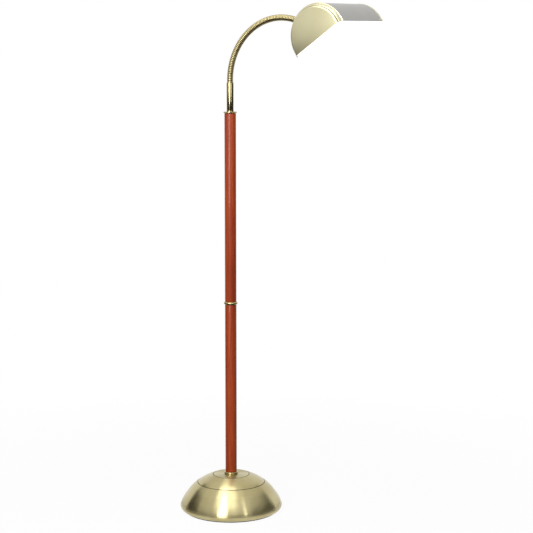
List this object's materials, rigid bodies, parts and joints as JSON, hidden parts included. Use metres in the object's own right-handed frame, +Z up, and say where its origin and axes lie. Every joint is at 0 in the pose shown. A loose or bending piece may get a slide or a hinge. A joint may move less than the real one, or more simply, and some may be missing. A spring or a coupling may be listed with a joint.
{
  "type": "gooseneck reading floor lamp",
  "caption": "Floor lamp with a domed brass base, reddish wooden pole, ribbed flexible neck and an arched shade with a flat opal diffuser.",
  "frame": {"origin": "on the floor, at the centre of the round base", "axes": "+Z up the pole, +X the way the neck reaches out in the stored pose, +Y along the shade"},
  "size_m": [0.5559, 0.279, 1.366],
  "materials": {
    "antique_brass": "brushed and lacquered, antique",
    "hose_brass": "satin, antique plated",
    "cap_brass": "satin, pale antique",
    "shade_nickel": "satin plated",
    "steel": "zinc plated",
    "iron": "rough casting",
    "pole_wood": "stained reddish brown, semi-gloss lacquer",
    "foot_rubber": "matt black",
    "reflector_white": "white enamel",
    "diffuser_white": "opal, smooth",
    "lamp_plastic": "moulded white",
    "bulb_glass": "phosphor coated",
    "ballast_case": "grey enamel",
    "switch_black": "moulded black"
  },
  "bodies": {
    "stand": {"base_cover": "antique_brass", "foot_ring": "foot_rubber", "bottom_plate": "steel", "base_weight": "iron", "base_spacer": "steel", "base_washer": "steel", "base_nut": "steel", "lower_rod": "steel", "plate_screws": "steel", "ballast": "ballast_case", "cord_grommet": "foot_rubber", "foot_collar": "antique_brass", "lower_pole": "pole_wood", "middle_ring": "antique_brass", "rod_coupler": "steel", "upper_pole": "pole_wood", "upper_rod": "steel", "top_collar": "antique_brass", "neck_sleeve": "antique_brass", "hose_00": "hose_brass"},
    "link_01": {"hose_01": "hose_brass"},
    "link_02": {"hose_02": "hose_brass"},
    "link_03": {"hose_03": "hose_brass"},
    "link_04": {"hose_04": "hose_brass"},
    "link_05": {"hose_05": "hose_brass"},
    "link_06": {"hose_06": "hose_brass"},
    "link_07": {"hose_07": "hose_brass"},
    "link_08": {"hose_08": "hose_brass"},
    "link_09": {"hose_09": "hose_brass"},
    "link_10": {"hose_10": "hose_brass"},
    "link_11": {"hose_11": "hose_brass"},
    "shade": {"hose_12": "hose_brass", "neck_ferrule": "antique_brass", "shade_seat": "antique_brass", "neck_nipple": "steel", "nipple_washer": "steel", "nipple_nut": "steel", "shade_barrel": "shade_nickel", "end_cap_near": "cap_brass", "end_cap_far": "cap_brass", "reflector": "reflector_white", "reflector_end_near": "reflector_white", "reflector_end_far": "reflector_white", "diffuser": "diffuser_white", "lamp_holder": "lamp_plastic", "bulb_cap": "lamp_plastic", "bulb_tube_1": "bulb_glass", "bulb_tube_2": "bulb_glass", "bulb_clip": "steel", "switch_body": "switch_black", "switch_nut": "steel"},
    "knob": {"switch_knob": "antique_brass"}
  },
  "joints": [
    {"name": "neck_bend_01", "type": "hinge", "parent": "stand", "child": "link_01", "pos_m": [0.00017, 0, 1.18095], "axis": [0, 1, 0], "range_deg": [-17.7, 13.3]},
    {"name": "neck_side_02", "type": "hinge", "parent": "link_01", "child": "link_02", "pos_m": [0.00391, 0, 1.20856], "axis": [0.9754, 0, -0.2205], "range_deg": [-15, 15]},
    {"name": "neck_bend_03", "type": "hinge", "parent": "link_02", "child": "link_03", "pos_m": [0.01242, 0, 1.2351], "axis": [0, 1, 0], "range_deg": [-17.7, 13.3]},
    {"name": "neck_side_04", "type": "hinge", "parent": "link_03", "child": "link_04", "pos_m": [0.02542, 0, 1.25974], "axis": [0.8401, 0, -0.5424], "range_deg": [-15, 15]},
    {"name": "neck_bend_05", "type": "hinge", "parent": "link_04", "child": "link_05", "pos_m": [0.04253, 0, 1.28173], "axis": [0, 1, 0], "range_deg": [-17.7, 13.3]},
    {"name": "neck_side_06", "type": "hinge", "parent": "link_05", "child": "link_06", "pos_m": [0.06321, 0, 1.30041], "axis": [0.6025, 0, -0.7981], "range_deg": [-15, 15]},
    {"name": "neck_bend_07", "type": "hinge", "parent": "link_06", "child": "link_07", "pos_m": [0.08683, 0, 1.31518], "axis": [0, 1, 0], "range_deg": [-17.7, 13.3]},
    {"name": "neck_side_08", "type": "hinge", "parent": "link_07", "child": "link_08", "pos_m": [0.11267, 0, 1.3256], "axis": [0.2914, 0, -0.9566], "range_deg": [-15, 15]},
    {"name": "neck_bend_09", "type": "hinge", "parent": "link_08", "child": "link_09", "pos_m": [0.13994, 0, 1.33135], "axis": [0, 1, 0], "range_deg": [-17.7, 13.3]},
    {"name": "neck_side_10", "type": "hinge", "parent": "link_09", "child": "link_10", "pos_m": [0.16779, 0, 1.33226], "axis": [-0.0553, 0, -0.9985], "range_deg": [-15, 15]},
    {"name": "neck_bend_11", "type": "hinge", "parent": "link_10", "child": "link_11", "pos_m": [0.19537, 0, 1.32828], "axis": [0, 1, 0], "range_deg": [-17.7, 13.3]},
    {"name": "neck_side_12", "type": "hinge", "parent": "link_11", "child": "shade", "pos_m": [0.22202, 0, 1.32007], "axis": [-0.3181, 0, -0.948], "range_deg": [-15, 15]},
    {"name": "switch_turn", "type": "hinge", "parent": "shade", "child": "knob", "pos_m": [0.26262, 0.04995, 1.30874], "axis": [-0.948, 0, 0.3181], "continuous": true}
  ]
}
